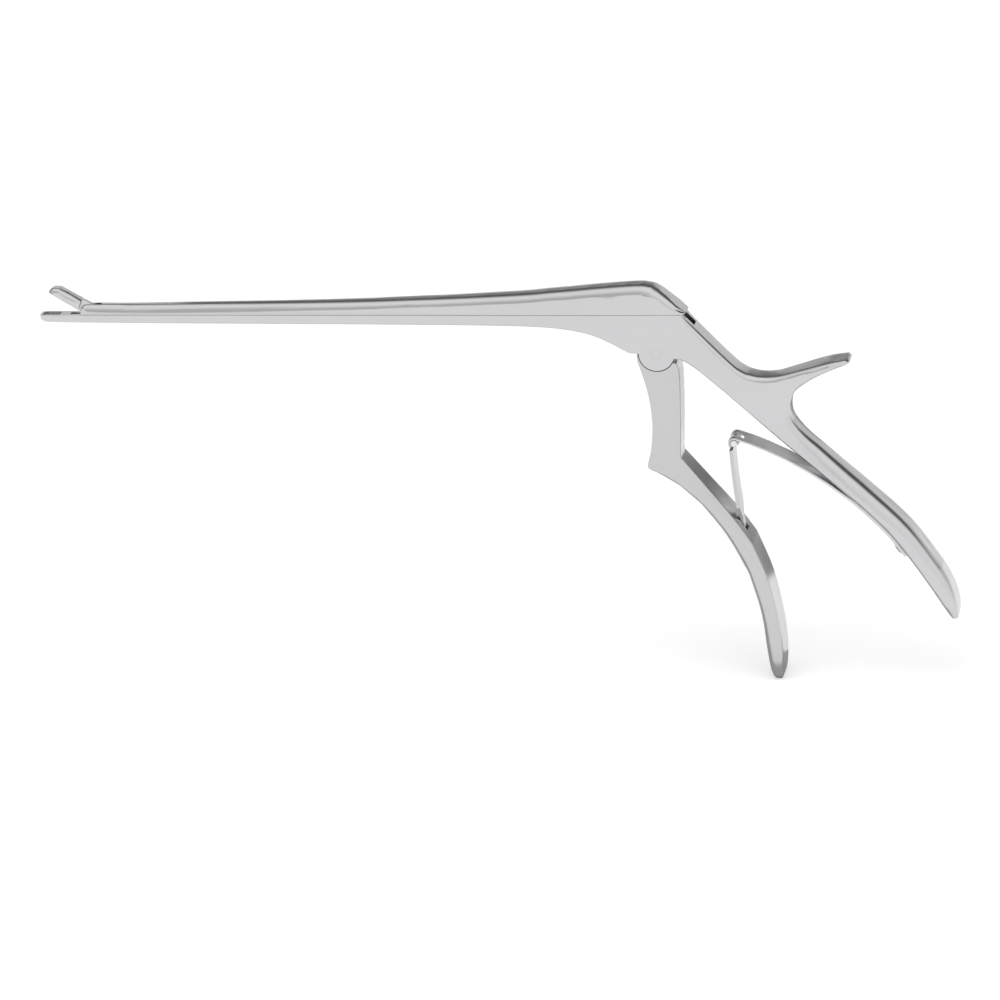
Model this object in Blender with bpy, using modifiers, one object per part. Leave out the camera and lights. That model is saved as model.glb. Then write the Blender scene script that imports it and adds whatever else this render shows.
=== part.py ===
"""Bone rongeur with a sliding upper shaft, a tilting upper jaw and leaf-sprung handles.

Every outline lies in the plane of the instrument, measured from the handle axle:
x runs to the rear, y runs up, and z runs to the side. The assembly empty stands that plane upright.
"""
import math

import bmesh
import bpy
from mathutils import Matrix, Vector
from mathutils.geometry import interpolate_bezier

# Driving dimensions, in metres and degrees
SHAFT_LENGTH = 0.1800
SHAFT_REAR = 0.0083
HANDLE_DROP = 0.0930
PARTING_HEIGHT = 0.0108
TIP_WIDTH = 0.0046
BODY_WIDTH = 0.0092
REAR_GRIP_WIDTH = 0.0120
FRONT_GRIP_WIDTH = 0.0124
SPUR_WIDTH = 0.0104
LOWER_BAR_HEIGHT = 0.0022
UPPER_BAR_HEIGHT = 0.0027
CREST_HEIGHT = 0.00785
BODY_FRONT = 0.0120
SLIDE_ROUNDING = 0.0021
HEEL_PLAN = 0.0022
JAW_LENGTH = 0.0117
JAW_SHORTFALL = 0.0005
JAW_OPENING = 31.7
JAW_HEIGHT = 0.0027
JAW_PIN_DEPTH = 0.00095
JAW_PIN_SETBACK = 0.0014
DRIVE_PIN_RISE = 0.0024
JAW_PIN_RADIUS = 0.0006
DRIVE_PIN_RADIUS = 0.0005
PIN_COVER = 0.0003
JAW_DISC_RADIUS = 0.0010
JAW_TAIL_WIDTH = 0.0016
JAW_TAIL_LENGTH = 0.0046
CUP_LENGTH = 0.0050
CUP_WALL = 0.0006
CUP_ROUNDING = 0.0005
LOWER_CUP_DEPTH = 0.0013
UPPER_CUP_DEPTH = 0.0015
JAW_SLOT_REACH = 0.0056
AXLE_RADIUS = 0.00145
LOBE_RADIUS = 0.0049
TONGUE_WIDTH = 0.0034
LEVER_HEAD_RADIUS = 0.0016
LEVER_HEAD_RISE = 0.0017
LEVER_NECK_WIDTH = 0.0023
SLOT_POCKET_REACH = 0.0103
SLOT_POCKET_DEPTH = 0.0073
RAIL_START = 0.0100
RAIL_NECK_WIDTH = 0.0012
RAIL_NECK_HEIGHT = 0.0007
RAIL_HEAD_WIDTH = 0.0022
RAIL_HEAD_HEIGHT = 0.0006
LEAF_WIDTH = 0.0083
LEAF_FOOT_THICKNESS = 0.00085
LEAF_TIP_THICKNESS = 0.00066
SPRING_PIN_RADIUS = 0.00095
STRUT_THICKNESS = 0.0009
STRUT_FOOT_WIDTH = 0.0030
STRUT_BOW = 0.00035
KNUCKLE_WIDTH = 0.0030
KNUCKLE_RADIUS = 0.0015
SCREW_SHANK_RADIUS = 0.0009
SCREW_SHANK_LENGTH = 0.0032
SCREW_HEAD_RADIUS = 0.0015
SCREW_HEAD_HEIGHT = 0.0009
SCREW_SLOT = 0.00035
SCREW_PLACE = 0.6

# Clearances between pieces
SLIDE_GAP = 0.0001
RAIL_GAP = 0.00015
TONGUE_GAP = 0.0002
LOBE_GAP = 0.00015
PIN_FIT = 0.00005
RUNNING_FIT = 0.00008
KNUCKLE_FIT = 0.00016
TAIL_GAP = 0.00015
JAW_GAP = 0.0001
END_GAP = 0.00035
LEAF_GAP = 0.00012
FOOT_GAP = 0.0003
SOCKET_GAP = 0.00008

# Fineness of the facets
FACET_TURN = math.radians(5.5)
ROUND_STEPS = 4
PIN_SIDES = 36

# The handles' outlines are drawn at this drop from the axle to the front tip
DRAWN_DROP = 93.0
UNIT = HANDLE_DROP / DRAWN_DROP

# Positions that follow from the sizes
TIP_X = SHAFT_REAR - SHAFT_LENGTH
SLIDE_FRONT = TIP_X + JAW_LENGTH
SLIDE_SOLE = PARTING_HEIGHT + SLIDE_GAP
BODY_START = -BODY_FRONT
JAW_PIN = (SLIDE_FRONT + JAW_PIN_SETBACK, PARTING_HEIGHT - JAW_PIN_DEPTH)
HALF_TILT = math.radians(JAW_OPENING) / 2
DRIVE_PIN = (JAW_PIN[0] + DRIVE_PIN_RISE * math.tan(HALF_TILT), JAW_PIN[1] + DRIVE_PIN_RISE)
SLIDE_TRAVEL = 2 * DRIVE_PIN_RISE * math.tan(HALF_TILT)
LEVER_HEAD = (SLIDE_TRAVEL / 2, PARTING_HEIGHT + LEVER_HEAD_RISE)
ABOVE = PARTING_HEIGHT + CREST_HEIGHT + LOBE_RADIUS
JAW_SLOT_REAR = SLIDE_FRONT + JAW_SLOT_REACH
JAW_SLOT_FRONT = SLIDE_FRONT - SLIDE_TRAVEL - JAW_TAIL_WIDTH - END_GAP
TAIL_SLOT_HALF = JAW_TAIL_WIDTH / 2 + TAIL_GAP
TONGUE_SLOT_HALF = TONGUE_WIDTH / 2 + TONGUE_GAP
TONGUE_SLOT_FRONT = -(LOBE_RADIUS + 2 * END_GAP)
TONGUE_SLOT_REAR = LOBE_RADIUS + 3 * END_GAP
RAIL_FRONT = SLIDE_FRONT + RAIL_START
RAIL_REAR = TONGUE_SLOT_FRONT - SLIDE_TRAVEL - 2 * END_GAP
LEAF_RING = SPRING_PIN_RADIUS + PIN_FIT + LEAF_TIP_THICKNESS


def drawn(knots):
    """Knots of the drawing at full size."""
    return [tuple(value * UNIT for value in knot) for knot in knots]


# Knots of the handles' outlines: x, y and the rounding of the rim
NECK_UNDER = drawn([(6.3, -1.6, 0.4), (9.1, -3.3, 0.6), (14.3, -7.6, 0.6), (24.9, -17.2, 0.6)])
GRIP_FRONT = drawn([(34.1, -25.7, 0.8), (45.1, -35.3, 1.2), (56.75, -45.85, 1.4), (62.2, -51.6, 1.4),
                    (67.15, -58.2, 1.4), (72.95, -66.8, 1.2), (76.4, -72.3, 1.0)])
GRIP_TIP = drawn([(77.6, -74.4, 0.8), (78.5, -75.8, 0.5), (79.4, -75.8, 0.5), (79.9, -74.8, 0.7)])
GRIP_BACK = drawn([(79.9, -72.7, 1.2), (79.35, -69.4, 1.9), (78.0, -65.35, 2.4), (75.65, -60.85, 2.8),
                   (67.55, -49.45, 3.0), (56.15, -38.25, 3.0), (49.8, -32.55, 2.8), (43.55, -26.8, 2.5),
                   (40.3, -23.9, 2.3)])
CROTCH = drawn([(37.85, -21.15, 2.1), (36.3, -18.8, 2.0), (35.75, -16.6, 1.9), (35.85, -14.4, 1.7),
                (36.7, -12.0, 1.4)])
SPUR = drawn([(38.1, -10.1, 1.1), (42.0, -7.4, 0.9), (47.8, -4.65, 0.8), (50.9, -3.6, 0.7), (52.1, -3.1, 0.6),
              (52.3, -2.6, 0.6), (51.3, -2.15, 0.8), (46.3, -2.95, 1.1), (38.0, -5.2, 1.4), (32.5, -6.7, 1.5)])
NECK_TOP = drawn([(29.7, -7.0, 1.5), (27.0, -6.8, 1.5), (24.3, -6.0, 1.5), (21.6, -4.3, 1.4),
                  (19.0, -1.8, 1.4), (13.7, 3.7, 1.4)])
HANDLE_FRONT = drawn([(-5.35, -0.3, 0.1), (-5.5, -1.0, 0.3), (-5.3, -2.4, 0.5), (-4.55, -4.8, 0.5),
                      (-3.05, -10.3, 0.5), (-2.0, -19.5, 0.5), (-2.75, -28.0, 0.5), (-3.55, -31.0, 0.5),
                      (-3.65, -32.2, 0.5), (-2.9, -33.0, 0.6), (-1.4, -33.7, 0.8), (4.9, -37.6, 1.2),
                      (10.8, -43.1, 1.7), (17.0, -51.4, 2.1), (22.85, -62.75, 2.2), (25.95, -74.3, 2.2),
                      (27.45, -86.1, 1.9), (28.2, -90.2, 1.4)])
HANDLE_TIP = drawn([(28.95, -92.2, 0.9), (29.8, -93.0, 0.6), (31.1, -92.9, 0.6), (31.6, -91.1, 0.7)])
HANDLE_BACK = drawn([(31.85, -87.5, 0.6), (31.65, -82.2, 0.5), (31.0, -76.4, 0.5), (28.6, -64.75, 0.5),
                     (24.2, -53.25, 0.5), (19.4, -46.3, 0.5), (12.4, -37.7, 0.5), (5.65, -29.5, 0.5)])
HANDLE_INNER = drawn([(5.65, -29.5, 0.5), (5.5, -28.0, 0.5), (5.8, -21.5, 0.5), (6.1, -7.6, 0.5),
                      (5.9, -4.2, 0.4), (5.3, -2.8, 0.3)])
LEAF_FREE = drawn([(51.5, -41.8), (45.6, -37.25), (40.2, -33.6), (34.1, -30.05), (28.8, -27.5), (24.6, -25.75)])
SPRING_PIN, STRUT_FOOT = drawn([(20.05, -25.6), (21.65, -51.4)])
SPUR_REACH = max(knot[0] for knot in SPUR)
REAR_DROP = -min(knot[1] for knot in GRIP_TIP)


def blend(t):
    """Smooth step from 0 to 1."""
    t = min(1.0, max(0.0, t))
    return t * t * (3 - 2 * t)


def rounded_end(distance, reach, least):
    """Share of the full width at a distance from an end that is rounded in plan."""
    t = min(1.0, max(0.0, distance / reach))
    return least + (1 - least) * math.sqrt(1 - (1 - t) ** 2)


def shaft_half_width(x):
    """The shaft widens evenly from the jaws to the body, and its tip is rounded in plan."""
    t = min(1.0, max(0.0, (x - SLIDE_FRONT) / (BODY_START - SLIDE_FRONT)))
    return (TIP_WIDTH + (BODY_WIDTH - TIP_WIDTH) * t) / 2 * rounded_end(x - TIP_X, TIP_WIDTH * 0.35, 0.62)


def slide_half_width(x, y):
    """As the shaft under it, with the rear end rounded in plan."""
    return shaft_half_width(max(x, SLIDE_FRONT)) * rounded_end(SHAFT_REAR - x, HEEL_PLAN, 0.55)


def frame_half_width(x, y):
    """Shaft and body first, then the rear grip and the spur grow wider than the body."""
    if x < BODY_START:
        return shaft_half_width(x)
    grip = (REAR_GRIP_WIDTH - BODY_WIDTH) / 2 * blend((-y / UNIT - 22) / 24)
    spur = (SPUR_WIDTH - BODY_WIDTH) / 2 * blend((x / UNIT - 34) / 12) * blend((y / UNIT + 24) / 8)
    ends = rounded_end(y + REAR_DROP, REAR_GRIP_WIDTH / 2, 0.5)
    if y > -REAR_DROP / 3:
        ends = rounded_end(SPUR_REACH - x, SPUR_WIDTH / 3, 0.6)
    return (BODY_WIDTH / 2 + grip + spur) * ends


def handle_half_width(x, y):
    """The front handle is flush with the body at the top and wider in the grip."""
    grip = (FRONT_GRIP_WIDTH - BODY_WIDTH) / 2 * blend((-y / UNIT - 28) / 26)
    return (BODY_WIDTH / 2 + grip) * rounded_end(y + HANDLE_DROP, FRONT_GRIP_WIDTH / 3, 0.65)


def turn(a, b, c):
    """Angle by which the path a, b, c bends at b."""
    first = math.atan2(b[1] - a[1], b[0] - a[0])
    second = math.atan2(c[1] - b[1], c[0] - b[0])
    return abs((second - first + math.pi) % (2 * math.pi) - math.pi)


def smooth_run(knots):
    """Points on a smooth curve through the knots, without the last one. A run of two is straight."""
    if len(knots) == 2:
        return [knots[0]]
    fine = 16
    last = len(knots) - 1
    tangents = []
    for i in range(last + 1):
        before, after = knots[max(0, i - 1)], knots[min(last, i + 1)]
        tangents.append(Vector((after[0] - before[0], after[1] - before[1])).normalized())
    points = []
    for i, (a, b) in enumerate(zip(knots, knots[1:])):
        start, end = Vector(a[:2]), Vector(b[:2])
        pull = (end - start).length / 3
        curve = interpolate_bezier(start, start + tangents[i] * pull, end - tangents[i + 1] * pull, end, fine + 1)
        points.append(a)
        kept = a
        for k in range(1, fine):
            here = curve[k]
            if turn(kept, here, curve[k + 1]) > FACET_TURN:
                share = k / fine
                rest = [low + (high - low) * share for low, high in zip(a[2:], b[2:])]
                points.append((here.x, here.y, *rest))
                kept = here
    return points


def arc_run(centre, radius, start, end, rounding=0.0):
    """Points on an arc from one angle to another, in degrees, without the last one."""
    steps = max(2, round(abs(math.radians(end - start)) / FACET_TURN / 1.3))
    points = []
    for k in range(steps):
        angle = math.radians(start + (end - start) * k / steps)
        points.append((centre[0] + radius * math.cos(angle), centre[1] + radius * math.sin(angle), rounding))
    return points


def material(name, tone, roughness):
    """Satin stainless steel."""
    steel = bpy.data.materials.new(name)
    steel.use_nodes = True
    shader = steel.node_tree.nodes["Principled BSDF"]
    shader.inputs["Base Color"].default_value = (tone, tone, tone * 1.01, 1.0)
    shader.inputs["Metallic"].default_value = 1.0
    shader.inputs["Roughness"].default_value = roughness
    return steel


def collection(name):
    group = bpy.data.collections.new(name)
    bpy.context.scene.collection.children.link(group)
    return group


def add_object(name, bm, axis=(0.0, 0.0), tone=0.62, roughness=0.32, cutter=False):
    """Puts the mesh in the scene with its origin on the given axis."""
    bmesh.ops.translate(bm, verts=bm.verts, vec=(-axis[0], -axis[1], 0.0))
    bmesh.ops.recalc_face_normals(bm, faces=bm.faces)
    mesh = bpy.data.meshes.new(name)
    bm.to_mesh(mesh)
    bm.free()
    thing = bpy.data.objects.new(name, mesh)
    thing.location = (axis[0], axis[1], 0.0)
    thing.parent = assembly
    if cutter:
        thing.hide_render = True
        thing.display_type = "WIRE"
        cutters.objects.link(thing)
    else:
        mesh.materials.append(material(name + "_steel", tone, roughness))
        mesh.shade_smooth()
        mesh.set_sharp_from_angle(angle=math.radians(28))
        parts.objects.link(thing)
    return thing


def inward_way(outline, i):
    """Direction from a corner of the outline to its inside, lengthened where the corner is sharp."""
    x, y = outline[i][:2]
    before, after = outline[i - 1], outline[(i + 1) % len(outline)]
    first = Vector((x - before[0], y - before[1])).normalized()
    second = Vector((after[0] - x, after[1] - y)).normalized()
    way = Vector((-(first.y + second.y), first.x + second.x)).normalized()
    return way / max(0.6, way.dot(Vector((-first.y, first.x))))


def eased(outline):
    """Lowers the rounding where the outline turns too tightly for it."""
    ways = [inward_way(outline, i) for i in range(len(outline))]
    radii = [point[2] for point in outline]
    for _ in range(40):
        for i, point in enumerate(outline):
            before = outline[i - 1]
            edge = Vector((point[0] - before[0], point[1] - before[1]))
            inner = edge + ways[i] * radii[i] - ways[i - 1] * radii[i - 1]
            if inner.dot(edge) < 0.2 * edge.length_squared:
                radii[i] *= 0.9
                radii[i - 1] *= 0.9
    return [(point[0], point[1], way, radius) for point, way, radius in zip(outline, ways, radii)]


def score_caps(bm, way, places):
    """Scores the flat sides across a direction, so that they can follow a changing width."""
    for place in places:
        faces = [face for face in bm.faces if face.material_index == 1]
        edges = list({edge for face in faces for edge in face.edges})
        verts = list({vert for face in faces for vert in face.verts})
        bmesh.ops.bisect_plane(bm, geom=faces + edges + verts, dist=2e-5, plane_co=way * place, plane_no=way)


def forged(outline, half_width, x_scores=(), y_scores=()):
    """A plate inside a closed outline, symmetric about its middle, rounded along its rim by each point's third value."""
    bm = bmesh.new()
    count = len(outline)
    rim = eased(outline)
    rings = []
    levels = [(k, -1) for k in range(ROUND_STEPS, -1, -1)] + [(k, 1) for k in range(ROUND_STEPS + 1)]
    for step, side in levels:
        ring = []
        swing = math.pi / 2 * step / ROUND_STEPS
        for x, y, way, rounding in rim:
            place = Vector((x, y)) + way * rounding * (1 - math.cos(swing))
            height = half_width(place.x, place.y) - rounding * (1 - math.sin(swing))
            ring.append(bm.verts.new((place.x, place.y, side * height)))
        rings.append(ring)
    for low, high in zip(rings, rings[1:]):
        for i in range(count):
            j = (i + 1) % count
            bm.faces.new((low[i], low[j], high[j], high[i]))
    for cap in (bm.faces.new(reversed(rings[0])), bm.faces.new(rings[-1])):
        cap.material_index = 1
    bmesh.ops.remove_doubles(bm, verts=bm.verts, dist=1e-6)
    score_caps(bm, Vector((1.0, 0.0, 0.0)), x_scores)
    score_caps(bm, Vector((0.0, 1.0, 0.0)), y_scores)
    for face in bm.faces:
        if face.material_index == 1:
            for vert in face.verts:
                vert.co.z = math.copysign(half_width(vert.co.x, vert.co.y), vert.co.z)
        face.material_index = 0
    bmesh.ops.dissolve_degenerate(bm, edges=bm.edges, dist=1e-6)
    bmesh.ops.triangulate(bm, faces=[face for face in bm.faces if len(face.verts) > 4])
    return bm


def block(x_span, y_span, half_width):
    """A box between two x and two y values."""
    bm = bmesh.new()
    size = (x_span[1] - x_span[0], y_span[1] - y_span[0], 2 * half_width)
    middle = ((x_span[0] + x_span[1]) / 2, (y_span[0] + y_span[1]) / 2, 0.0)
    bmesh.ops.create_cube(bm, size=1.0, matrix=Matrix.Translation(middle) @ Matrix.Diagonal((*size, 1.0)))
    return bm


def rod(centre, radius, half_length, sides=PIN_SIDES):
    """A cylinder along z."""
    bm = bmesh.new()
    bmesh.ops.create_cone(bm, cap_ends=True, segments=sides, radius1=radius, radius2=radius,
                          depth=2 * half_length, matrix=Matrix.Translation((centre[0], centre[1], 0.0)))
    return bm


def ribbon(path, thickness, width):
    """A strip along a path in the plane: thickness lies in the plane and width across it, by share of length."""
    bm = bmesh.new()
    count = len(path)
    sections = []
    for i, (x, y) in enumerate(path):
        before, after = path[max(0, i - 1)], path[min(count - 1, i + 1)]
        along = Vector((after[0] - before[0], after[1] - before[1])).normalized()
        share = i / (count - 1)
        side = Vector((-along.y, along.x)) * thickness(share) / 2
        half = width(share) / 2
        corners = ((x + side.x, y + side.y, half), (x - side.x, y - side.y, half),
                   (x - side.x, y - side.y, -half), (x + side.x, y + side.y, -half))
        sections.append([bm.verts.new(corner) for corner in corners])
    for low, high in zip(sections, sections[1:]):
        for i in range(4):
            j = (i + 1) % 4
            bm.faces.new((low[i], low[j], high[j], high[i]))
    bm.faces.new(sections[0])
    bm.faces.new(reversed(sections[-1]))
    return bm


def boolean(target, tool, operation="DIFFERENCE"):
    step = target.modifiers.new(tool.name, "BOOLEAN")
    step.operation = operation
    step.solver = "EXACT"
    step.object = tool


def cut(target, name, bm, bevel=0.0):
    tool = add_object("cut_" + name, bm, cutter=True)
    if bevel:
        soften(tool, bevel)
    boolean(target, tool)


def join(target, name, bm):
    boolean(target, add_object("add_" + name, bm, cutter=True), "UNION")


def soften(thing, width):
    edge = thing.modifiers.new("rounded edges", "BEVEL")
    edge.width = width
    edge.segments = 3
    edge.limit_method = "ANGLE"
    edge.angle_limit = math.radians(40)


def tip_stations(tip, y):
    """Extra points near a jaw's tip that follow its rounding in plan, from rear to front."""
    return [(place, y, 0.0) for place in reversed(tip_scores(tip))]


def tip_scores(tip):
    return [tip + TIP_WIDTH * share for share in (0.04, 0.1, 0.2, 0.35)]


def end_scores(end, way, width):
    """Places near a rounded end, measured back from it."""
    return [end + way * width * share for share in (0.04, 0.11, 0.2, 0.33, 0.5)]


def spread(start, end, count):
    """Evenly spaced places of the drawing, both ends included, at full size."""
    return [(start + (end - start) * k / (count - 1)) * UNIT for k in range(count)]


def shaft_place(share):
    """Place along the shaft, from 0 at the body to 1 at the slide's front end."""
    return BODY_START + (SLIDE_FRONT - BODY_START) * share


def frame_outline():
    """One forging: lower shaft with lower jaw, body, neck, spur and rear grip, anticlockwise from the tip."""
    low = PARTING_HEIGHT - LOWER_BAR_HEIGHT
    edge = 0.6 * UNIT
    nose = [(TIP_X, PARTING_HEIGHT, 0.0), (TIP_X + TIP_WIDTH * 0.03, low + LOWER_BAR_HEIGHT * 0.6, edge / 2),
            (TIP_X + TIP_WIDTH * 0.17, low + LOWER_BAR_HEIGHT * 0.27, edge),
            (TIP_X + TIP_WIDTH * 0.5, low + LOWER_BAR_HEIGHT * 0.11, edge), (SLIDE_FRONT, low, edge)]
    sag = ((1.0, 0.0), (0.68, 0.3), (0.34, 0.6), (0.227, 0.8), (0.15, 1.1), (0.114, 1.45), (0.078, 2.1),
           (0.04, 3.4), (0.0, 6.0))
    belly = [(shaft_place(share), low - deeper * UNIT, edge) for share, deeper in sag]
    belly += drawn([(-9.6, 1.3, 0.4), (-7.3, 0.1, 0.3)])
    lobe_end = -math.radians(18.0)
    lobe = arc_run((0.0, 0.0), LOBE_RADIUS, 180.0, 342.0, PIN_FIT * 3)
    lobe.append((LOBE_RADIUS * math.cos(lobe_end), LOBE_RADIUS * math.sin(lobe_end), PIN_FIT * 4))
    crown = (SHAFT_REAR - 1.3 * UNIT, PARTING_HEIGHT, 0.0)
    shoulder = (SHAFT_REAR + 0.3 * UNIT, PARTING_HEIGHT - 1.7 * UNIT, UNIT)
    back = NECK_UNDER + GRIP_FRONT + GRIP_TIP + GRIP_BACK + CROTCH + SPUR + NECK_TOP + [shoulder, crown]
    top = [crown, (BODY_START, PARTING_HEIGHT, 0.0), (SLIDE_FRONT, PARTING_HEIGHT, 0.0)]
    return (smooth_run(nose) + smooth_run(belly) + [belly[-1]] + lobe + smooth_run(back) + top
            + tip_stations(TIP_X, PARTING_HEIGHT))


def grip_edge(share):
    """A point on the rear grip's front edge and the direction along it, for the spring's screw."""
    a, b = Vector(GRIP_FRONT[3][:2]), Vector(GRIP_FRONT[4][:2])
    return a.lerp(b, share), (b - a).normalized()


def build_frame():
    x_scores = tip_scores(TIP_X) + [SLIDE_FRONT, BODY_START] + spread(34, 46, 5)
    x_scores += end_scores(SPUR_REACH, -1.0, SPUR_WIDTH * 0.66)
    y_scores = spread(-16, -46, 11) + end_scores(-REAR_DROP, 1.0, REAR_GRIP_WIDTH)
    forging = forged(frame_outline(), frame_half_width, x_scores, y_scores)
    frame = add_object("shaft_and_rear_handle", forging, tone=0.62)
    cut(frame, "tongue_slot", block((TONGUE_SLOT_FRONT, TONGUE_SLOT_REAR), (-1.5 * LOBE_RADIUS, ABOVE),
                                    TONGUE_SLOT_HALF))
    cut(frame, "slot_pocket", block((TONGUE_SLOT_REAR - END_GAP, SLOT_POCKET_REACH),
                                    (PARTING_HEIGHT - SLOT_POCKET_DEPTH, ABOVE), TONGUE_SLOT_HALF))
    ceiling = PARTING_HEIGHT - RAIL_NECK_HEIGHT + RAIL_GAP
    floor = PARTING_HEIGHT - RAIL_NECK_HEIGHT - RAIL_HEAD_HEIGHT - RAIL_GAP
    groove = (RAIL_FRONT - SLIDE_TRAVEL - END_GAP, TONGUE_SLOT_FRONT + END_GAP)
    cut(frame, "rail_head_groove", block(groove, (floor, ceiling), RAIL_HEAD_WIDTH / 2 + RAIL_GAP))
    cut(frame, "rail_groove", block(groove, (ceiling - RAIL_GAP / 2, ABOVE), RAIL_NECK_WIDTH / 2 + RAIL_GAP))
    cut(frame, "axle_bore", rod((0.0, 0.0), AXLE_RADIUS + PIN_FIT, BODY_WIDTH))
    cut(frame, "jaw_slot", block((JAW_SLOT_FRONT, JAW_SLOT_REAR - SLIDE_TRAVEL), (0.0, ABOVE), TAIL_SLOT_HALF))
    reach = shaft_half_width(JAW_PIN[0]) - PIN_COVER
    cut(frame, "jaw_pin_bore", rod(JAW_PIN, JAW_PIN_RADIUS + PIN_FIT, reach, 24))
    cup = (TIP_X + CUP_WALL, TIP_X + CUP_WALL + CUP_LENGTH)
    cut(frame, "lower_cup", block(cup, (PARTING_HEIGHT - LOWER_CUP_DEPTH, PARTING_HEIGHT + LOWER_CUP_DEPTH),
                                  TIP_WIDTH / 2 - CUP_WALL), bevel=CUP_ROUNDING)
    point, along = grip_edge(SCREW_PLACE)
    cut(frame, "screw_hole", screw_rod(point, along, SCREW_SHANK_RADIUS + PIN_FIT, -SCREW_HEAD_RADIUS,
                                       SCREW_SHANK_LENGTH + END_GAP))


def screw_matrix(point, along):
    """Frame whose z runs from the grip's front edge into the grip."""
    inward = Vector((-along.y, along.x, 0.0))
    across = Vector((0.0, 0.0, 1.0))
    place = Matrix((inward.cross(across), across, inward)).transposed().to_4x4()
    place.translation = (point.x, point.y, 0.0)
    return place


def screw_rod(point, along, radius, start, end, sides=24):
    bm = bmesh.new()
    shift = Matrix.Translation((0.0, 0.0, (start + end) / 2))
    bmesh.ops.create_cone(bm, cap_ends=True, segments=sides, radius1=radius, radius2=radius, depth=end - start,
                          matrix=screw_matrix(point, along) @ shift)
    return bm


def build_axle():
    add_object("handle_axle", rod((0.0, 0.0), AXLE_RADIUS, BODY_WIDTH / 2), tone=0.6)


def slide_outline():
    high = SLIDE_SOLE + UPPER_BAR_HEIGHT
    r = SLIDE_ROUNDING
    heel = [(SHAFT_REAR - 0.2 * UNIT, SLIDE_SOLE, 0.0), (SHAFT_REAR, SLIDE_SOLE + 0.15 * UNIT, 0.1 * UNIT)]
    slope = ((0.0, 0.019, 0.05), (2.35, 0.29, 0.7), (5.1, 0.608, 1.0), (7.2, 0.823, 1.1), (9.2, 0.949, 1.15),
             (11.9, 1.0, 1.15), (15.8, 0.987, 1.15))
    back = [(SHAFT_REAR - x * UNIT, SLIDE_SOLE + CREST_HEIGHT * rise, r * ease) for x, rise, ease in slope]
    climb = ((0.0, 0.92, 1.15), (0.043, 0.82, 1.1), (0.08, 0.72, 1.1), (0.118, 0.63, 1.05), (0.155, 0.53, 1.05),
             (0.23, 0.41, 1.0), (0.304, 0.31, 1.0), (0.38, 0.235, 1.0), (0.455, 0.16, 1.0), (0.605, 0.08, 1.0),
             (0.757, 0.04, 1.0), (0.91, 0.0, 1.0))
    rise = CREST_HEIGHT - UPPER_BAR_HEIGHT
    back += [(shaft_place(share), high + rise * part, r * ease) for share, part, ease in climb]
    brow = [(SLIDE_FRONT + r * 0.8, high, r * 0.9), (SLIDE_FRONT + r / 4, high - r * 0.18, r * 0.7),
            (SLIDE_FRONT, high - r * 0.43, r * 0.3)]
    front = [brow[-1], (SLIDE_FRONT, SLIDE_SOLE, 0.0)]
    sole = [front[-1], (BODY_START, SLIDE_SOLE, 0.0)]
    return smooth_run(heel) + smooth_run(back + brow[:1]) + smooth_run(brow) + smooth_run(front) + sole


def build_slide():
    bar = forged(slide_outline(), slide_half_width, [BODY_START] + end_scores(SHAFT_REAR, -1.0, HEEL_PLAN * 2))
    slide = add_object("sliding_shaft", bar, tone=0.64)
    seat = SLIDE_SOLE + RAIL_NECK_HEIGHT / 2
    neck_foot = PARTING_HEIGHT - RAIL_NECK_HEIGHT
    rail = (RAIL_FRONT, RAIL_REAR)
    join(slide, "rail_neck", block(rail, (neck_foot - RAIL_GAP / 2, seat), RAIL_NECK_WIDTH / 2))
    join(slide, "rail_head", block(rail, (neck_foot - RAIL_HEAD_HEIGHT, neck_foot), RAIL_HEAD_WIDTH / 2))
    guide = (LEVER_HEAD[0] + LEVER_HEAD_RADIUS + 3 * END_GAP, TONGUE_SLOT_REAR + END_GAP)
    join(slide, "rear_guide", block(guide, (PARTING_HEIGHT - LEVER_HEAD_RISE, seat), TONGUE_WIDTH / 2))
    socket = LEVER_HEAD_RADIUS + SOCKET_GAP
    cut(slide, "lever_socket", block((LEVER_HEAD[0] - socket, LEVER_HEAD[0] + socket),
                                     (0.0, LEVER_HEAD[1] + socket + END_GAP), TONGUE_SLOT_HALF))
    cut(slide, "jaw_fork", block((SLIDE_FRONT - UPPER_BAR_HEIGHT, JAW_SLOT_REAR), (0.0, ABOVE), TAIL_SLOT_HALF))
    reach = shaft_half_width(DRIVE_PIN[0]) - 2 * PIN_COVER
    cut(slide, "drive_pin_bore", rod(DRIVE_PIN, DRIVE_PIN_RADIUS + PIN_FIT, reach, 24))


def opened(bm):
    """Tilts the closed jaw's mesh into its open rest position."""
    tilt = Matrix.Rotation(-math.radians(JAW_OPENING), 3, "Z")
    bmesh.ops.rotate(bm, verts=bm.verts, cent=(*JAW_PIN, 0.0), matrix=tilt)
    return bm


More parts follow.
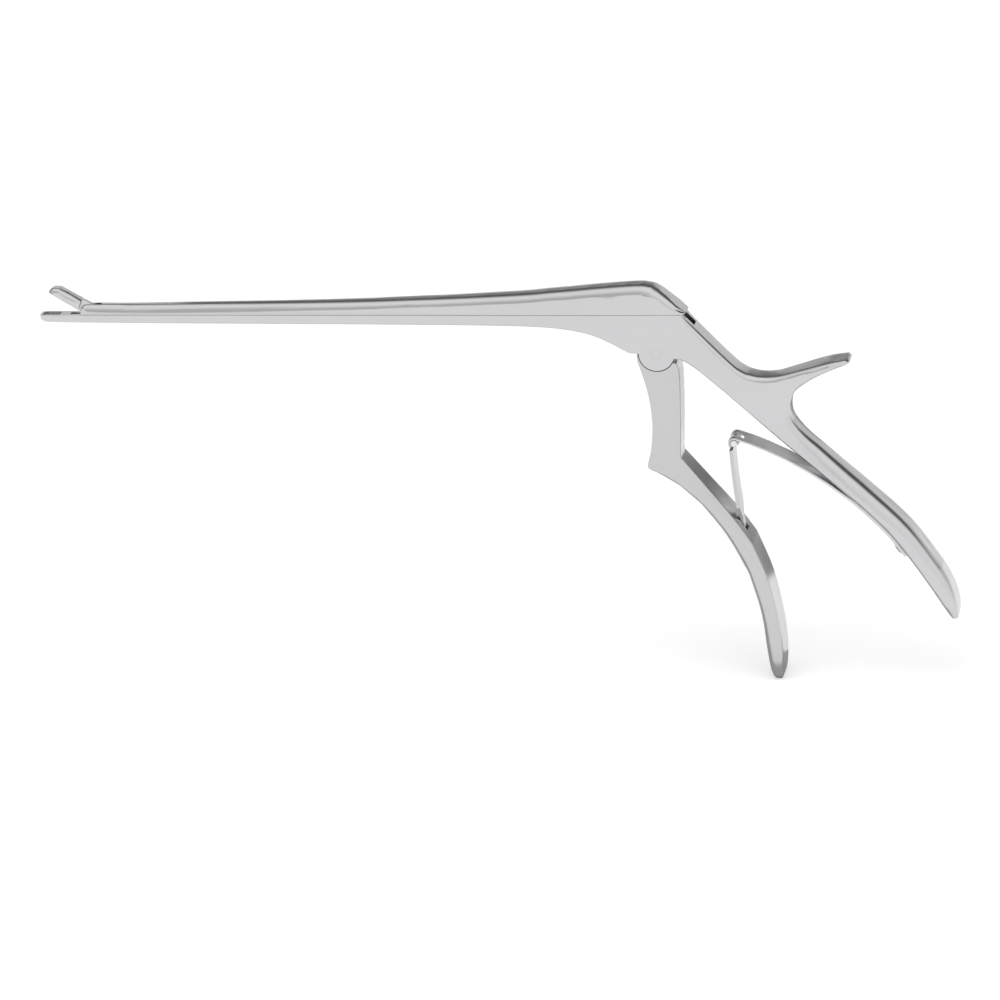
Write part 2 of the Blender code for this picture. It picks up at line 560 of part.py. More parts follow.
def build_jaw():
    tip = TIP_X + JAW_SHORTFALL
    sole = PARTING_HEIGHT + JAW_GAP
    top = PARTING_HEIGHT + JAW_HEIGHT
    round_edge = TIP_WIDTH / 3
    heel = SLIDE_FRONT - SLIDE_TRAVEL - END_GAP
    crown = [(heel, sole, 0.0), (heel - END_GAP, top, round_edge * 0.7)]
    snout = [(tip + TIP_WIDTH, top, round_edge), (tip + TIP_WIDTH * 0.47, top - JAW_HEIGHT * 0.09, round_edge * 0.9),
             (tip + TIP_WIDTH * 0.2, top - JAW_HEIGHT * 0.31, round_edge * 0.7),
             (tip + TIP_WIDTH * 0.04, sole + JAW_HEIGHT * 0.37, round_edge * 0.4), (tip, sole, 0.0)]
    outline = crown + smooth_run(snout) + [snout[-1]] + list(reversed(tip_stations(tip, sole)))
    spoon = forged(outline, lambda x, y: shaft_half_width(x - JAW_SHORTFALL), tip_scores(tip))
    jaw = add_object("upper_jaw", opened(spoon), axis=JAW_PIN, tone=0.63)
    disc = JAW_DISC_RADIUS
    crest = top - JAW_PIN[1]
    tail = [(-JAW_TAIL_LENGTH, JAW_PIN_DEPTH + 2 * TAIL_GAP, 0.0), (END_GAP - JAW_TAIL_LENGTH, sole - JAW_PIN[1], 0.0)]
    tail += arc_run((0.0, 0.0), disc, 250.0, 360.0)
    tail += [(disc, 0.0, 0.0), (disc, DRIVE_PIN_RISE, 0.0), (disc / 2, crest, 0.0),
             (-disc / 2, crest + 2 * TAIL_GAP, 0.0), (heel - JAW_PIN[0], crest + TAIL_GAP, 0.0),
             (-JAW_TAIL_LENGTH, crest - TAIL_GAP, 0.0)]
    placed = [(JAW_PIN[0] + x, JAW_PIN[1] + y, r) for x, y, r in tail]
    join(jaw, "jaw_tail", opened(forged(placed, lambda x, y: JAW_TAIL_WIDTH / 2)))
    cut(jaw, "jaw_pin_hole", rod(JAW_PIN, JAW_PIN_RADIUS + RUNNING_FIT, TIP_WIDTH, 24))
    low, high = DRIVE_PIN_RISE, DRIVE_PIN_RISE / math.cos(HALF_TILT)
    r = DRIVE_PIN_RADIUS + RUNNING_FIT
    slot = (arc_run((0.0, high), r, 0.0, 180.0) + [(-r, high, 0.0)] + arc_run((0.0, low), r, 180.0, 360.0)
            + [(r, low, 0.0)])
    lean = Matrix.Rotation(-HALF_TILT, 2)
    placed = []
    for x, y, rounding in slot:
        point = lean @ Vector((x, y))
        placed.append((JAW_PIN[0] + point.x, JAW_PIN[1] + point.y, rounding))
    cut(jaw, "drive_slot", forged(placed, lambda x, y: TIP_WIDTH))
    cup = block((tip + CUP_WALL, tip + CUP_WALL + CUP_LENGTH), (sole - UPPER_CUP_DEPTH, sole + UPPER_CUP_DEPTH),
                TIP_WIDTH / 2 - CUP_WALL)
    cut(jaw, "upper_cup", opened(cup), bevel=CUP_ROUNDING)


def build_jaw_pins():
    hinge = shaft_half_width(JAW_PIN[0]) - PIN_COVER - PIN_FIT
    add_object("jaw_hinge_pin", rod(JAW_PIN, JAW_PIN_RADIUS, hinge, 24), axis=JAW_PIN, tone=0.58)
    drive = shaft_half_width(DRIVE_PIN[0]) - 2 * PIN_COVER - PIN_FIT
    add_object("jaw_drive_pin", rod(DRIVE_PIN, DRIVE_PIN_RADIUS, drive, 24), tone=0.58)


def handle_outline():
    rim = LOBE_RADIUS + LOBE_GAP
    end = math.radians(-176.0)
    rim_end = (rim * math.cos(end), rim * math.sin(end), PIN_FIT * 3)
    return (smooth_run(HANDLE_FRONT + HANDLE_TIP + HANDLE_BACK) + smooth_run(HANDLE_INNER) + [HANDLE_INNER[-1]]
            + arc_run((0.0, 0.0), rim, -30.0, -176.0, PIN_FIT * 3) + [rim_end])


def tongue_outline():
    """The tongue between the cheeks, with the lever and its round head above the axle."""
    head_x, head_y = LEVER_HEAD
    neck = LEVER_NECK_WIDTH / 2
    wall = 2 * AXLE_RADIUS
    side = math.degrees(math.asin(neck / LEVER_HEAD_RADIUS))
    reach = LOBE_RADIUS
    foot = head_y - 1.5 * LEVER_HEAD_RADIUS
    right = [(reach, -AXLE_RADIUS, 0.0), (reach * 0.9, AXLE_RADIUS, 0.0), (wall, reach * 0.78, 0.0),
             (head_x + neck * 1.15, reach * 1.33, 0.0), (head_x + neck, foot, 0.0)]
    left = [(head_x - neck, foot, 0.0), (head_x - neck * 1.7, reach * 1.33, 0.0), (-wall, reach * 0.78, 0.0),
            (-reach * 0.9, AXLE_RADIUS, 0.0), (-reach * 0.98, -AXLE_RADIUS, 0.0)]
    head = arc_run(LEVER_HEAD, LEVER_HEAD_RADIUS, side - 90.0, 270.0 - side)
    head_end = (head_x - neck, head_y - LEVER_HEAD_RADIUS * math.cos(math.radians(side)), 0.0)
    root = -1.8 * reach
    return ([(-reach * 0.7, root, 0.0), (reach, root, 0.0)] + smooth_run(right) + head + [head_end]
            + smooth_run(left) + [left[-1]])


def build_front_handle():
    y_scores = spread(-28, -54, 9) + end_scores(-HANDLE_DROP, 1.0, FRONT_GRIP_WIDTH)
    handle = add_object("front_handle", forged(handle_outline(), handle_half_width, (), y_scores), tone=0.62)
    join(handle, "tongue", forged(tongue_outline(), lambda x, y: TONGUE_WIDTH / 2))
    cut(handle, "handle_bore", rod((0.0, 0.0), AXLE_RADIUS + RUNNING_FIT, BODY_WIDTH))
    foot, top = Vector(STRUT_FOOT), strut_top()
    along = (top - foot).normalized()
    side = Vector((-along.y, along.x))
    wide = STRUT_THICKNESS / 2 + 2 * FOOT_GAP
    mouth = foot + along * 2 * STRUT_FOOT_WIDTH
    low = foot - along * (STRUT_THICKNESS / 2)
    flare = wide + FOOT_GAP
    corners = (low + side * wide, low - side * wide, mouth - side * flare, mouth + side * flare)
    pocket = [(corner.x, corner.y, 0.0) for corner in corners]
    cut(handle, "strut_pocket", forged(pocket, lambda x, y: STRUT_FOOT_WIDTH / 2 + FOOT_GAP))


def leaf_path():
    """Middle line of the leaf: along the grip from its foot, free to the knuckle, then round the pin."""
    clear = LEAF_GAP + LEAF_FOOT_THICKNESS / 2
    point, along = grip_edge(SCREW_PLACE)
    foot = point + along * 1.5 * SCREW_HEAD_RADIUS
    inner = [foot, point, Vector(GRIP_FRONT[3][:2]), Vector(GRIP_FRONT[2][:2])]
    hugged = []
    for i, here in enumerate(inner):
        way = (inner[min(i + 1, 3)] - inner[max(i - 1, 0)]).normalized()
        hugged.append((here.x - way.y * clear, here.y + way.x * clear))
    curl = arc_run(SPRING_PIN, LEAF_RING - LEAF_TIP_THICKNESS / 2, 72.0, 232.0)
    curl = [place[:2] for place in curl]
    return smooth_run(hugged + LEAF_FREE + [curl[0]]) + curl


def build_leaf():
    def thickness(share):
        return LEAF_FOOT_THICKNESS + (LEAF_TIP_THICKNESS - LEAF_FOOT_THICKNESS) * blend((share - 0.08) / 0.2)

    leaf = add_object("rear_leaf_spring", ribbon(leaf_path(), thickness, lambda share: LEAF_WIDTH), tone=0.55)
    x, y = SPRING_PIN
    window = block((x - 2 * LEAF_RING, x + 1.5 * LEAF_RING), (y - 2 * LEAF_RING, y + 2 * LEAF_RING),
                   KNUCKLE_WIDTH / 2 + TAIL_GAP)
    cut(leaf, "knuckle_window", window)
    point, along = grip_edge(SCREW_PLACE)
    cut(leaf, "leaf_screw_hole", screw_rod(point, along, SCREW_SHANK_RADIUS + 2 * PIN_FIT, -3 * SCREW_HEAD_RADIUS,
                                           SCREW_HEAD_RADIUS))


def build_spring_pin():
    add_object("spring_hinge_pin", rod(SPRING_PIN, SPRING_PIN_RADIUS, LEAF_WIDTH / 2 + LEAF_GAP), axis=SPRING_PIN,
               tone=0.7)


def build_screw():
    point, along = grip_edge(SCREW_PLACE)
    under = -(2 * LEAF_GAP + LEAF_FOOT_THICKNESS)
    screw = add_object("leaf_spring_screw", screw_rod(point, along, SCREW_HEAD_RADIUS, under - SCREW_HEAD_HEIGHT,
                                                      under), tone=0.5)
    join(screw, "screw_shank", screw_rod(point, along, SCREW_SHANK_RADIUS, under - SCREW_HEAD_HEIGHT / 3,
                                         SCREW_SHANK_LENGTH))
    groove = bmesh.new()
    shift = Matrix.Translation((0.0, 0.0, under - SCREW_HEAD_HEIGHT))
    shape = Matrix.Diagonal((4 * SCREW_HEAD_RADIUS, SCREW_SLOT, 2 * SCREW_SLOT, 1.0))
    bmesh.ops.create_cube(groove, size=1.0, matrix=screw_matrix(point, along) @ shift @ shape)
    cut(screw, "screw_slot", groove)


def strut_top():
    """The strut runs up the knuckle's front side."""
    return Vector((SPRING_PIN[0] - KNUCKLE_RADIUS + STRUT_THICKNESS * 0.6, SPRING_PIN[1]))


def build_strut():
    """The strut between the leaf's knuckle and the pocket in the front handle."""
    foot, top = Vector(STRUT_FOOT), strut_top()
    along = (top - foot).normalized()
    length = (top - foot).length
    shoulder = (length - LEAF_RING - END_GAP) / length
    wide, narrow = LEAF_WIDTH, KNUCKLE_WIDTH
    taper = STRUT_FOOT_WIDTH / length
    stations = ((0.0, STRUT_FOOT_WIDTH), (1.2 * taper, STRUT_FOOT_WIDTH), (2.5 * taper, wide), (0.5, wide),
                (0.7, wide), (shoulder, wide), (shoulder + 0.01, narrow), (1.0, narrow))
    side = Vector((-along.y, along.x))
    path = []
    for share, _ in stations:
        point = foot.lerp(top, share) + side * STRUT_BOW * math.sin(math.pi * share)
        path.append((point.x, point.y))

    def width(share):
        return stations[round(share * (len(stations) - 1))][1]

    strut = add_object("spring_strut", ribbon(path, lambda share: STRUT_THICKNESS, width), axis=STRUT_FOOT, tone=0.6)
    join(strut, "strut_knuckle", rod(SPRING_PIN, KNUCKLE_RADIUS, KNUCKLE_WIDTH / 2 - PIN_FIT))
    cut(strut, "strut_pin_hole", rod(SPRING_PIN, SPRING_PIN_RADIUS + KNUCKLE_FIT, LEAF_WIDTH))


for old in list(bpy.data.objects):
    bpy.data.objects.remove(old, do_unlink=True)

parts = collection("bone_rongeur")
cutters = collection("cutters")
assembly = bpy.data.objects.new("assembly", None)
parts.objects.link(assembly)

reach = [point[0] for point in frame_outline()]
drop = [point[1] for point in handle_outline()]
assembly.location = (-(min(reach) + max(reach)) / 2, 0.0, -min(drop))
assembly.rotation_euler = (math.pi / 2, 0.0, 0.0)

build_frame()
build_axle()
build_slide()
build_jaw()
build_jaw_pins()
build_front_handle()
build_leaf()
build_spring_pin()
build_screw()
build_strut()
bpy.context.view_layer.update()
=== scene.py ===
import math

import bmesh
import bpy
from mathutils import Matrix, Vector
from mathutils.geometry import interpolate_bezier
from mathutils.kdtree import KDTree


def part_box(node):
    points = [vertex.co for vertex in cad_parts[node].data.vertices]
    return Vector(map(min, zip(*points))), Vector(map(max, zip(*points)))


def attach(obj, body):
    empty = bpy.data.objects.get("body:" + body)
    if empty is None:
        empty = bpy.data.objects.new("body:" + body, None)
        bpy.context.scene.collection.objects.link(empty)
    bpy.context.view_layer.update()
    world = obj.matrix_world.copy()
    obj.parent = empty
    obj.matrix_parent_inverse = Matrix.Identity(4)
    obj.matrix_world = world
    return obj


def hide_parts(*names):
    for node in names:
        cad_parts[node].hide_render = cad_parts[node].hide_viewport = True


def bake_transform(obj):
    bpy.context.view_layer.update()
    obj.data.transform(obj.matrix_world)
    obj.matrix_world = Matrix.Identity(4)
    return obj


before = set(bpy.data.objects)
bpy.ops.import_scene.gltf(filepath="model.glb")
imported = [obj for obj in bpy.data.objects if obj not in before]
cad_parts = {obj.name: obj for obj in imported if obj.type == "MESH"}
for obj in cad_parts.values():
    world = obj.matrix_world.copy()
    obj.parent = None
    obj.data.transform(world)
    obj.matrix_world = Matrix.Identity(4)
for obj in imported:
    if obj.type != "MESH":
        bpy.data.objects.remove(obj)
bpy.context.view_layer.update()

# Lower shaft with the lower jaw, body, spur and rear grip. The real piece is one stainless forging, milled
# flat on its sides and along the parting face, rounded by belt along the grip, and satin finished all over.
bpy.ops.object.select_all(action="DESELECT")
GRIT_SCALE, GRIT_DEPTH = 2600.0, 0.05
CLOUD_SCALE, CLOUD_DEPTH = 70.0, 0.07
MERGE_DISTANCE = 0.000002
QUAD_BEND = math.radians(6.0)
QUAD_SKEW = math.radians(60.0)
GENTLE_TURN = math.radians(15.0)
STRAIGHT = math.cos(math.radians(0.15))
LEVEL = math.radians(0.1)
SHORTEST = 0.0022
NEIGHBOUR_PULL = 2.5
NEW_POINTS = 3
SAME_PLACE = 0.0000001
CORNER = math.radians(45.0)


class Wire:
    """A socket that takes arithmetic, so that a pattern reads as a sum."""

    def __init__(self, tree, socket=None):
        self.tree = tree
        self.socket = socket

    def node(self, kind, output=0, settings=None, stops=(), **values):
        """Adds a node: its settings and ramp stops first, then the values or links of its sockets."""
        made = self.tree.nodes.new(kind)
        for name, value in (settings or {}).items():
            setattr(made, name, value)
        for number, (place, grey) in enumerate(stops):
            elements = made.color_ramp.elements
            element = elements[number] if number < 2 else elements.new(place)
            element.position = place
            element.color = (grey, grey, grey, 1.0)
        for name, value in values.items():
            self.put(made.inputs[name.replace("_", " ")], value)
        return Wire(self.tree, made.outputs[output])

    def put(self, place, value):
        if isinstance(value, Wire):
            self.tree.links.new(value.socket, place)
        else:
            place.default_value = value

    def math(self, operation, first, second):
        made = self.tree.nodes.new("ShaderNodeMath")
        made.operation = operation
        self.put(made.inputs[0], first)
        self.put(made.inputs[1], second)
        return Wire(self.tree, made.outputs[0])

    def __add__(self, other):
        return self.math("ADD", self, other)

    def __sub__(self, other):
        return self.math("SUBTRACT", self, other)

    def __rsub__(self, other):
        return self.math("SUBTRACT", other, self)

    def __mul__(self, other):
        return self.math("MULTIPLY", self, other)

    __radd__ = __add__
    __rmul__ = __mul__


def steel(name, tone, roughness, lines=(1.0, 1.0, 1.0), line_depth=0.0):
    """Stainless steel with blasted grit, broad clouds and faint drawn lines, which run along the axis that
    has the small scale."""
    finish = bpy.data.materials.new(name)
    finish.use_nodes = True
    shader = finish.node_tree.nodes["Principled BSDF"]
    shader.inputs["Metallic"].default_value = 1.0
    start = Wire(finish.node_tree)
    place = start.node("ShaderNodeTexCoord", output="Object")
    grit = start.node("ShaderNodeTexNoise", Vector=place, Scale=GRIT_SCALE, Detail=4.0, Roughness=0.65)
    cloud = start.node("ShaderNodeTexNoise", Vector=place, Scale=CLOUD_SCALE, Detail=2.0, Roughness=0.5)
    stretched = start.node("ShaderNodeMapping", Vector=place, Scale=lines)
    line = start.node("ShaderNodeTexNoise", Vector=stretched, Scale=1.0, Detail=3.0, Roughness=0.6)
    shade = 1.0 + (grit - 0.5) * GRIT_DEPTH + (cloud - 0.5) * CLOUD_DEPTH + (line - 0.5) * line_depth
    base = (tone * 0.997, tone, tone * 1.014, 1.0)
    colour = start.node("ShaderNodeMix", output="Result", Factor=1.0, A=base, B=shade,
                        settings={"data_type": "RGBA", "blend_type": "MULTIPLY"})
    start.put(shader.inputs["Base Color"], colour)
    rough = roughness + (grit - 0.5) * 0.08 + (cloud - 0.5) * 0.05 + (line - 0.5) * line_depth
    start.put(shader.inputs["Roughness"], rough)
    height = grit + line * (line_depth * 12.0)
    bump = start.node("ShaderNodeBump", Height=height, Strength=0.05, Distance=0.00002)
    start.put(shader.inputs["Normal"], bump)
    return finish


def edit_all(piece):
    """Makes the piece the only selected one and selects all of its mesh in edit mode."""
    bpy.ops.object.select_all(action="DESELECT")
    piece.select_set(True)
    bpy.context.view_layer.objects.active = piece
    bpy.ops.object.mode_set(mode="EDIT")
    bpy.ops.mesh.select_all(action="SELECT")


def leaving(vert, edge, step):
    """Direction in which the smooth curve passes the vertex at the end of the edge. At a corner it is the
    edge's own, and a long edge gives way little to a short neighbour."""
    way = step.normalized()
    others = [other.other_vert(vert).co - vert.co for other in vert.link_edges if other != edge]
    onward = max(others, key=lambda other: other.normalized().dot(way))
    if onward.normalized().dot(way) < math.cos(GENTLE_TURN):
        return way
    own_share = min(1.0, NEIGHBOUR_PULL * step.length / onward.length)
    other_share = min(1.0, NEIGHBOUR_PULL * onward.length / step.length)
    return (way * own_share + onward.normalized() * other_share).normalized()


def fair(piece):
    """Adds points to each line that turns gently, on the smooth curve through its corners."""
    bm = bmesh.new()
    bm.from_mesh(piece.data)
    turning = []
    straights = []
    curved = []
    for edge in bm.edges:
        first, last = edge.verts
        step = last.co - first.co
        start = -leaving(first, edge, -step)
        end = leaving(last, edge, step)
        straight_on = min(start.dot(step), end.dot(step)) > STRAIGHT * step.length
        if straight_on or edge.calc_length() < SHORTEST or edge.calc_face_angle(1.0) < LEVEL:
            continue
        pull = edge.calc_length() / 3
        curved += interpolate_bezier(first.co, first.co + start * pull, last.co - end * pull, last.co,
                                     NEW_POINTS + 2)[1:-1]
        straights += [first.co.lerp(last.co, k / (NEW_POINTS + 1)) for k in range(1, NEW_POINTS + 1)]
        turning.append(edge)
    bmesh.ops.subdivide_edges(bm, edges=turning, cuts=NEW_POINTS, use_grid_fill=True)
    near = KDTree(len(straights))
    for number, place in enumerate(straights):
        near.insert(place, number)
    near.balance()
    for vert in bm.verts:
        number, distance = near.find(vert.co)[1:] if straights else (None, 1.0)
        if distance < SAME_PLACE:
            vert.co = curved[number]
    bm.to_mesh(piece.data)
    bm.free()


def merged_copy(node, name, cuts=()):
    """The CAD node's mesh as clean faces, cut across at the given places so that it can bend. Its imported
    normals go first, because they mislead the marking of sharp edges."""
    piece = bpy.data.objects.new(name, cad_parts[node].data.copy())
    bpy.context.scene.collection.objects.link(piece)
    edit_all(piece)
    bpy.ops.mesh.customdata_custom_splitnormals_clear()
    bpy.ops.mesh.remove_doubles(threshold=MERGE_DISTANCE)
    bpy.ops.mesh.tris_convert_to_quads(face_threshold=QUAD_BEND, shape_threshold=QUAD_SKEW)
    for place, normal in cuts:
        bpy.ops.mesh.select_all(action="SELECT")
        bpy.ops.mesh.bisect(plane_co=place, plane_no=normal)
    bpy.ops.object.mode_set(mode="OBJECT")
    fair(piece)
    return piece


def finished(piece, material, edge=0.0, sharp=32.0):
    """Breaks the sharp edges where an edge width is given, shades the piece and gives it its finish."""
    if edge:
        broken = piece.modifiers.new("broken edges", "BEVEL")
        broken.width = edge
        broken.segments = 2
        broken.limit_method = "ANGLE"
        broken.angle_limit = CORNER
        broken.use_clamp_overlap = False
        bpy.ops.object.modifier_apply(modifier=broken.name)
    bpy.ops.object.shade_smooth_by_angle(angle=math.radians(sharp))
    weighted = piece.modifiers.new("flat faces lead", "WEIGHTED_NORMAL")
    weighted.keep_sharp = True
    bpy.ops.object.modifier_apply(modifier=weighted.name)
    piece.data.materials.clear()
    piece.data.materials.append(material)
    return piece


forged_finish = steel("satin_forging", 0.60, 0.24)
forging = finished(merged_copy("shaft_and_rear_handle", "lower_shaft_forging"), forged_finish)
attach(forging, "frame")
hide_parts("shaft_and_rear_handle")

# Handle axle: a ground steel pin through both cheeks, polished off flush with them, so that only a faint
# ring shows on each side.
PIN_SIDES = 72
AXLE_END = 0.00003
AXLE_FIT = 0.00004


def pin(node, name, ends, material, body, steps=2, fit=0.0):
    """A round pin in the place of its CAD node, with its two end edges rounded."""
    low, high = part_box(node)
    bpy.ops.object.select_all(action="DESELECT")
    bpy.ops.mesh.primitive_cylinder_add(vertices=PIN_SIDES, radius=(high.x - low.x) / 2 + fit,
                                        depth=high.y - low.y, location=(low + high) / 2,
                                        rotation=(math.pi / 2, 0.0, 0.0))
    piece = bpy.context.object
    piece.name = name
    bpy.ops.object.transform_apply(location=True, rotation=True, scale=True)
    edit_all(piece)
    bpy.ops.mesh.select_all(action="DESELECT")
    bpy.ops.mesh.select_mode(type="EDGE")
    bpy.ops.object.mode_set(mode="OBJECT")
    for edge in piece.data.edges:
        first, second = (piece.data.vertices[number].co for number in edge.vertices)
        edge.select = abs(first.y - second.y) < ends
    bpy.ops.object.mode_set(mode="EDIT")
    bpy.ops.mesh.bevel(offset=ends, segments=steps, affect="EDGES")
    bpy.ops.object.mode_set(mode="OBJECT")
    finished(piece, material, sharp=50.0)
    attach(piece, body)
    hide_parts(node)


ground_finish = steel("ground_pin", 0.60, 0.26)
pin("handle_axle", "flush_axle", AXLE_END, ground_finish, "frame", fit=AXLE_FIT)

# Sliding shaft: a long bar milled with a T-shaped rail underneath, its top edges rounded over and blended
# into the flat sides by hand, and satin finished along its length. A pin across it drives the upper jaw.
JAW_PIN_END = 0.00004
slide_finish = steel("satin_slide", 0.60, 0.23, lines=(300.0, 5000.0, 5000.0), line_depth=0.03)
slide = finished(merged_copy("sliding_shaft", "upper_sliding_shaft"), slide_finish)
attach(slide, "slide")
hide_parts("sliding_shaft")
pin("jaw_drive_pin", "jaw_drive_pin_ends", JAW_PIN_END, ground_finish, "slide")

# Upper jaw: a small spoon-shaped bite with a milled cup underneath and a ground cutting rim. It tilts on a
# pin in the lower shaft, and its tail fills the slot behind it.
jaw_finish = steel("satin_jaw", 0.60, 0.23)
jaw = finished(merged_copy("upper_jaw", "tilting_jaw"), jaw_finish)
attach(jaw, "jaw")
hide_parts("upper_jaw")
pin("jaw_hinge_pin", "jaw_hinge_pin_ends", JAW_PIN_END, ground_finish, "frame")

# Front handle: a forging with crisp edges towards the rear grip and a rounded finger side. Its tongue runs
# up between the body's cheeks to the lever head in the sliding shaft.
# Its steel tone is a little darker than the forging's: painted shade for the handle's lower place in the
# light.
handle_finish = steel("satin_handle", 0.57, 0.24)
handle = finished(merged_copy("front_handle", "finger_handle"), handle_finish)
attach(handle, "handle")
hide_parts("front_handle")

# Leaf spring: hardened strip with rounded long edges, lying on the rear grip at its foot and curled round
# the knuckle pin at its free end. It bends as the handles close.
BEND_START = Vector((0.09587, 0.0, 0.052119))
BEND_END = Vector((0.06987, 0.0, 0.065619))
BEND_STATIONS = 28
LEAF_EDGE = 0.00022
spring_finish = steel("rolled_spring_strip", 0.62, 0.2, lines=(900.0, 5000.0, 900.0), line_depth=0.03)
bend = BEND_END - BEND_START
stations = [(BEND_START + bend * k / BEND_STATIONS, bend.normalized()) for k in range(BEND_STATIONS + 1)]
leaf = finished(merged_copy("rear_leaf_spring", "rear_leaf", stations), spring_finish,
                edge=LEAF_EDGE)
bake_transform(leaf)
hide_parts("rear_leaf_spring")

# Leaf screw: a small slotted cheese-head screw that holds the leaf's foot to the rear grip. It is turned
# steel, left darker than the satin forgings.
SCREW_EDGE = 0.0001
screw_finish = steel("turned_screw", 0.26, 0.34)
screw = finished(merged_copy("leaf_spring_screw", "leaf_screw"), screw_finish, SCREW_EDGE)
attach(screw, "frame")
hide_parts("leaf_spring_screw")

# Strut: a flat strip with a rounded knuckle at its top and a narrow foot, which stands loose in the front
# handle's pocket. Its pin is bright steel with rounded ends, a running fit in the leaf's two curls.
STRUT_EDGE = 0.00008
KNUCKLE_END = 0.00025
strut_finish = steel("strut_strip", 0.56, 0.22, lines=(5000.0, 5000.0, 400.0), line_depth=0.03)
strut = finished(merged_copy("spring_strut", "knuckle_strut"), strut_finish, STRUT_EDGE)
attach(strut, "strut")
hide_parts("spring_strut")
bright_finish = steel("bright_knuckle_pin", 0.74, 0.2)
pin("spring_hinge_pin", "knuckle_pin", KNUCKLE_END, bright_finish, "leaf_tip", steps=5)

# Table: a plain white sheet on which the instrument stands upright on the tip of its front handle. It is
# lit a little from itself, so that it reads as white and still keeps the shadow.
TABLE_SIZE = 12.0
TABLE_TONE = 0.8
TABLE_LIFT = 0.42
bpy.ops.object.select_all(action="DESELECT")
bpy.ops.mesh.primitive_plane_add(size=TABLE_SIZE, location=(0.0, 0.0, 0.0))
table = bpy.context.object
table.name = "table"
paper = bpy.data.materials.new("white_table")
paper.use_nodes = True
shader = paper.node_tree.nodes["Principled BSDF"]
shader.inputs["Base Color"].default_value = (TABLE_TONE, TABLE_TONE, TABLE_TONE, 1.0)
shader.inputs["Roughness"].default_value = 0.9
shader.inputs["Specular IOR Level"].default_value = 0.0
shader.inputs["Emission Color"].default_value = (1.0, 1.0, 1.0, 1.0)
start = Wire(paper.node_tree)
seen = start.node("ShaderNodeLightPath", output="Is Camera Ray")
rays = seen.socket.node.outputs
mirrored = Wire(paper.node_tree, rays["Is Glossy Ray"])
through = Wire(paper.node_tree, rays["Is Transmission Ray"])
start.put(shader.inputs["Emission Strength"], (seen + mirrored + through) * TABLE_LIFT)
table.data.materials.append(paper)

# Studio: soft light from above and in front, dimmer at the left of the horizon, with a dim band over the
# back of the table. These draw the lines along the rounded edges. Each sky is a list of height and tone.
FRONT_LEFT = ((0.5, 0.62), (0.68, 0.6), (0.8, 0.85), (0.93, 1.05), (1.0, 1.15))
FRONT_RIGHT = ((0.5, 1.0), (0.7, 1.05), (0.8, 1.1), (0.93, 1.1), (1.0, 1.15))
BACK_LEFT = ((0.5, 0.8), (0.59, 0.8), (0.615, 0.15), (0.81, 0.12), (0.9, 0.3), (0.965, 0.9), (1.0, 1.15))
BACK_RIGHT = ((0.5, 0.8), (0.66, 0.72), (0.7, 0.1), (0.85, 0.08), (0.93, 0.3), (0.97, 0.9), (1.0, 1.15))
world = bpy.data.worlds.new("studio")
bpy.context.scene.world = world
world.use_nodes = True
start = Wire(world.node_tree)
direction = start.node("ShaderNodeTexCoord", output="Generated")
across = start.node("ShaderNodeSeparateXYZ", output="X", Vector=direction)
depth = start.node("ShaderNodeSeparateXYZ", output="Y", Vector=direction)
height = start.node("ShaderNodeSeparateXYZ", output="Z", Vector=direction) * 0.5 + 0.5
aside = start.node("ShaderNodeMapRange", Value=across, From_Min=-0.12, From_Max=0.2)
behind = start.node("ShaderNodeMapRange", Value=depth, From_Min=-0.25, From_Max=0.2)


def blended(share, first, second):
    """A mix of two skies by the given share."""
    return start.node("ShaderNodeMix", output="Result", settings={"data_type": "RGBA"},
                      Factor=share, A=first, B=second)


skies = [start.node("ShaderNodeValToRGB", stops=stops, Fac=height)
         for stops in (FRONT_LEFT, FRONT_RIGHT, BACK_LEFT, BACK_RIGHT)]
sky = blended(behind, blended(aside, skies[0], skies[1]), blended(aside, skies[2], skies[3]))
start.put(world.node_tree.nodes["Background"].inputs["Color"], sky)

# Overhead lamp: one broad, weak soft lamp in front of and above the instrument, which gives the table its
# soft shadow. The metal doesn't mirror it.
LAMP_PLACE = Vector((-0.3, -0.7, 1.7))
LAMP_AIM = Vector((0.0, 0.0, 0.05))
light = bpy.data.lights.new("overhead_lamp", "AREA")
light.shape = "DISK"
light.size = 1.4
light.energy = 6.0
lamp = bpy.data.objects.new("overhead_lamp", light)
bpy.context.scene.collection.objects.link(lamp)
lamp.location = LAMP_PLACE
lamp.rotation_euler = (LAMP_AIM - LAMP_PLACE).to_track_quat("-Z", "Y").to_euler()
lamp.visible_glossy = False
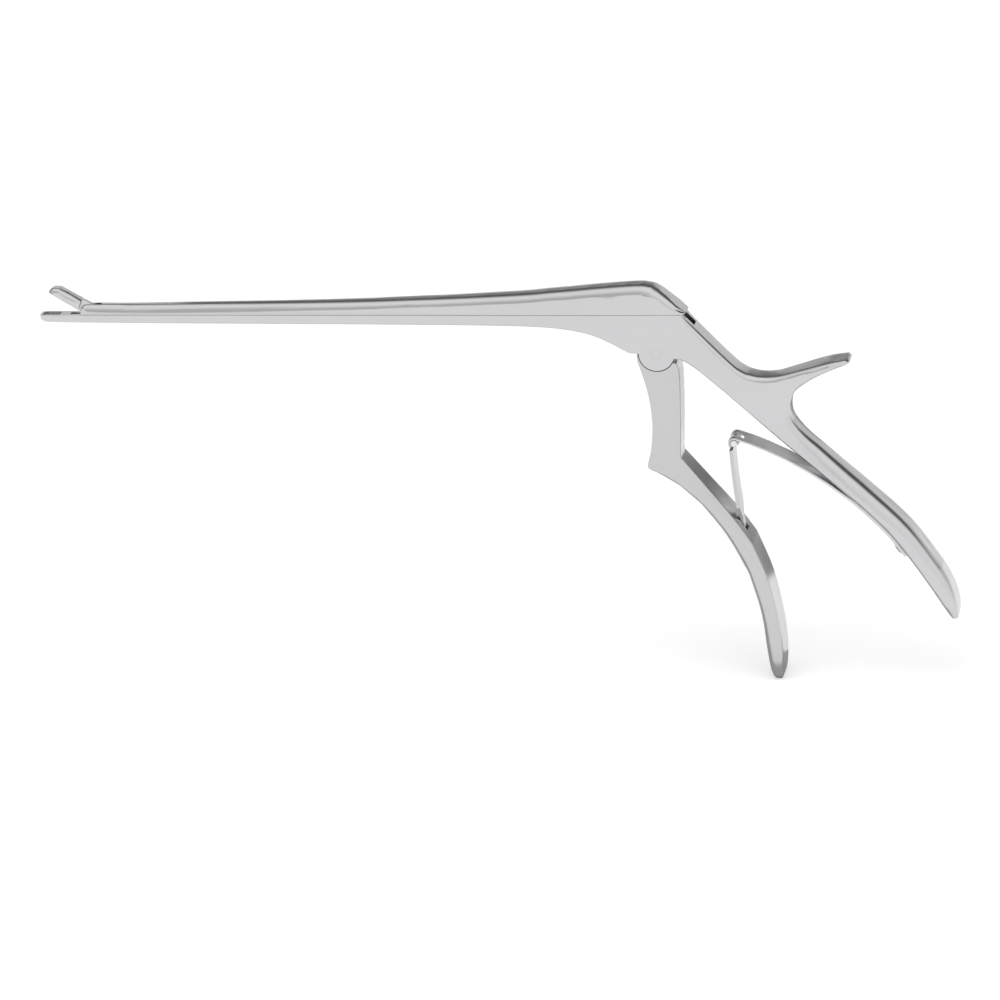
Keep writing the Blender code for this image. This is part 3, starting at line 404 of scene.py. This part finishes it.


# Cards: two dark ones stand low behind the handles, out of view, and darken the reflections in the inner
# faces. A light one stands behind the jaws, and a grey one lies under the instrument as a painted shadow,
# seen only in the metal, where it draws the line along the lower edges as a painted reflection of that
# shade.
def card(name, tone, low, high):
    """An upright or lying card between two corners, seen only in the metal."""
    card_paper = bpy.data.materials.new(name)
    card_paper.use_nodes = True
    card_shader = card_paper.node_tree.nodes["Principled BSDF"]
    card_shader.inputs["Base Color"].default_value = (tone, tone, tone, 1.0)
    card_shader.inputs["Roughness"].default_value = 0.9
    low, high = Vector(low), Vector(high)
    bpy.ops.object.select_all(action="DESELECT")
    bpy.ops.mesh.primitive_cube_add(size=1.0, location=(low + high) / 2)
    board = bpy.context.object
    board.name = name
    board.scale = high - low
    bpy.ops.object.transform_apply(location=True, rotation=True, scale=True)
    board.visible_camera = False
    board.visible_diffuse = False
    board.visible_shadow = False
    board.data.materials.append(card_paper)


card("card_behind_lever", 0.28, (0.066, 0.050, 0.054), (0.098, 0.051, 0.076))
card("card_behind_grip", 0.28, (0.084, 0.050, 0.018), (0.098, 0.051, 0.054))
card("card_at_jaws", 0.85, (-0.15, 0.060, 0.105), (-0.102, 0.061, 0.150))
# Grey sheet under the instrument: painted shadow, seen only in the reflections along the lower edges.
card("shadow_card_below", 0.6, (-0.13, -0.018, 0.0003), (0.12, 0.018, 0.0005))

# Camera: set a little to the right and above, as the photograph was taken, and rolled a little, with a
# long lens, so that the instrument is seen almost without perspective.
AZIMUTH, ELEVATION, ROLL = math.radians(10.3), math.radians(17.5), math.radians(3.0113)
DISTANCE = 1.5
TARGET = Vector((0.000001, 0.0, 0.050033))
towards = Vector((math.sin(AZIMUTH) * math.cos(ELEVATION), -math.cos(AZIMUTH) * math.cos(ELEVATION),
                  math.sin(ELEVATION)))
right = Vector((math.cos(AZIMUTH), math.sin(AZIMUTH), 0.0))
up = towards.cross(right)
rolled_right = right * math.cos(ROLL) - up * math.sin(ROLL)
rolled_up = right * math.sin(ROLL) + up * math.cos(ROLL)
camera_data = bpy.data.cameras.new("camera")
camera_data.lens = 196.18
camera_data.sensor_width = 36.0
camera_data.clip_start = 0.05
camera = bpy.data.objects.new("camera", camera_data)
bpy.context.scene.collection.objects.link(camera)
turned = Matrix((rolled_right, rolled_up, towards)).transposed().to_4x4()
turned.translation = TARGET + towards * DISTANCE
camera.matrix_world = turned
bpy.context.scene.camera = camera
bpy.context.scene.view_settings.view_transform = "Standard"
